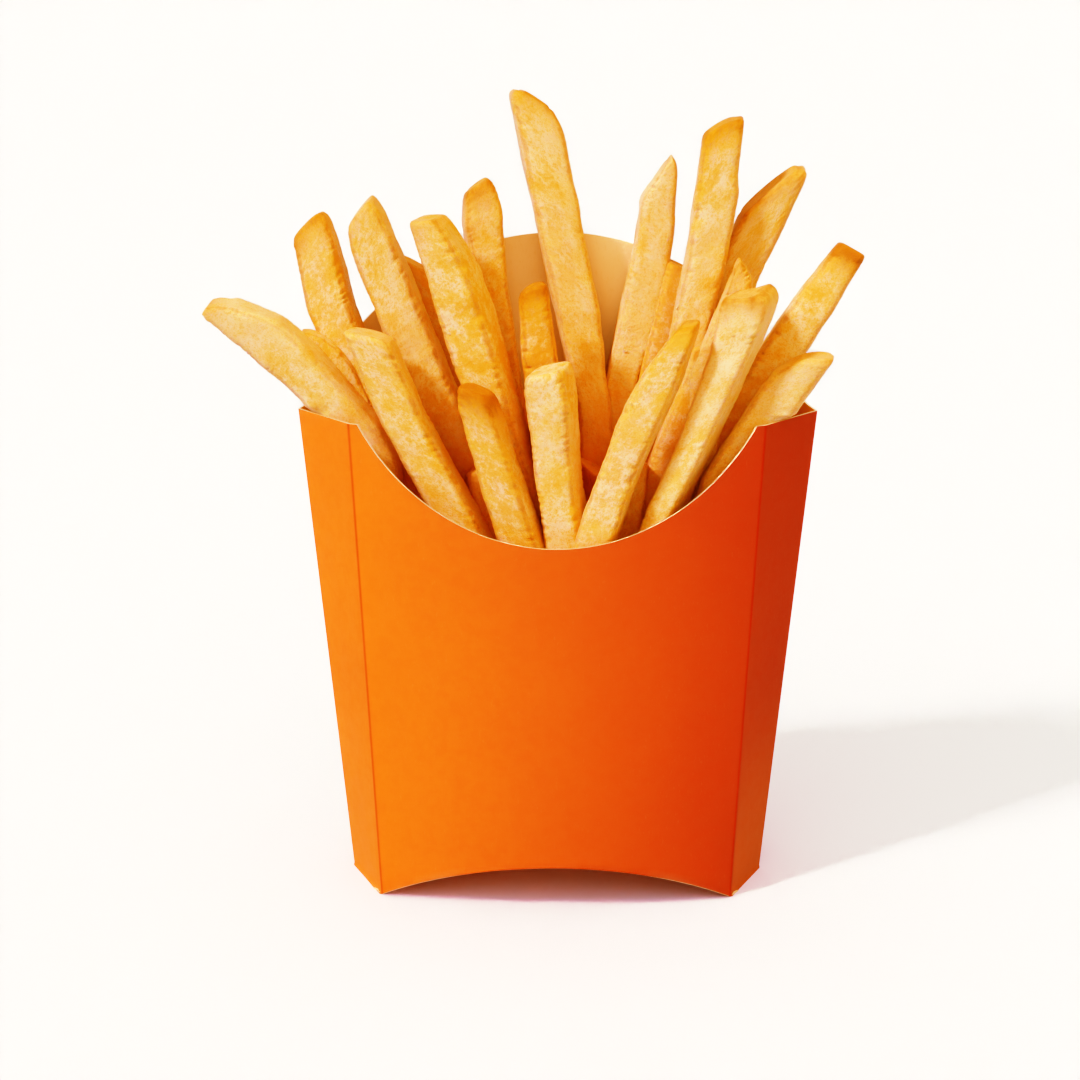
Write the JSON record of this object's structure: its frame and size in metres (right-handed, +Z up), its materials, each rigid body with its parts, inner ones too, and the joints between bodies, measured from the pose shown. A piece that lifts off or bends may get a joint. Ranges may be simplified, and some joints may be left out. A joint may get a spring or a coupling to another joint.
{
  "type": "french fries in a carton",
  "caption": "Scoop-fronted folded board carton with a domed back panel and vaulted bottom, filled with a standing heap of thick-cut fries.",
  "frame": {"origin": "on the floor, under the middle of the whole part's bounding box, about 5 mm left of the carton's own centre because the fries lean further out on the left", "axes": "+Z up, the scooped front panel faces -Y, +X to the right as seen from the front"},
  "size_m": [0.1312, 0.0472, 0.1542],
  "materials": {
    "board": "orange-printed folding board outside, uncoated cream board inside and on the cut edges",
    "potato": "deep-fried potato, pale golden with browned edges and tips"
  },
  "bodies": {
    "root": {"carton": "board", "fries": "potato"}
  },
  "joints": []
}
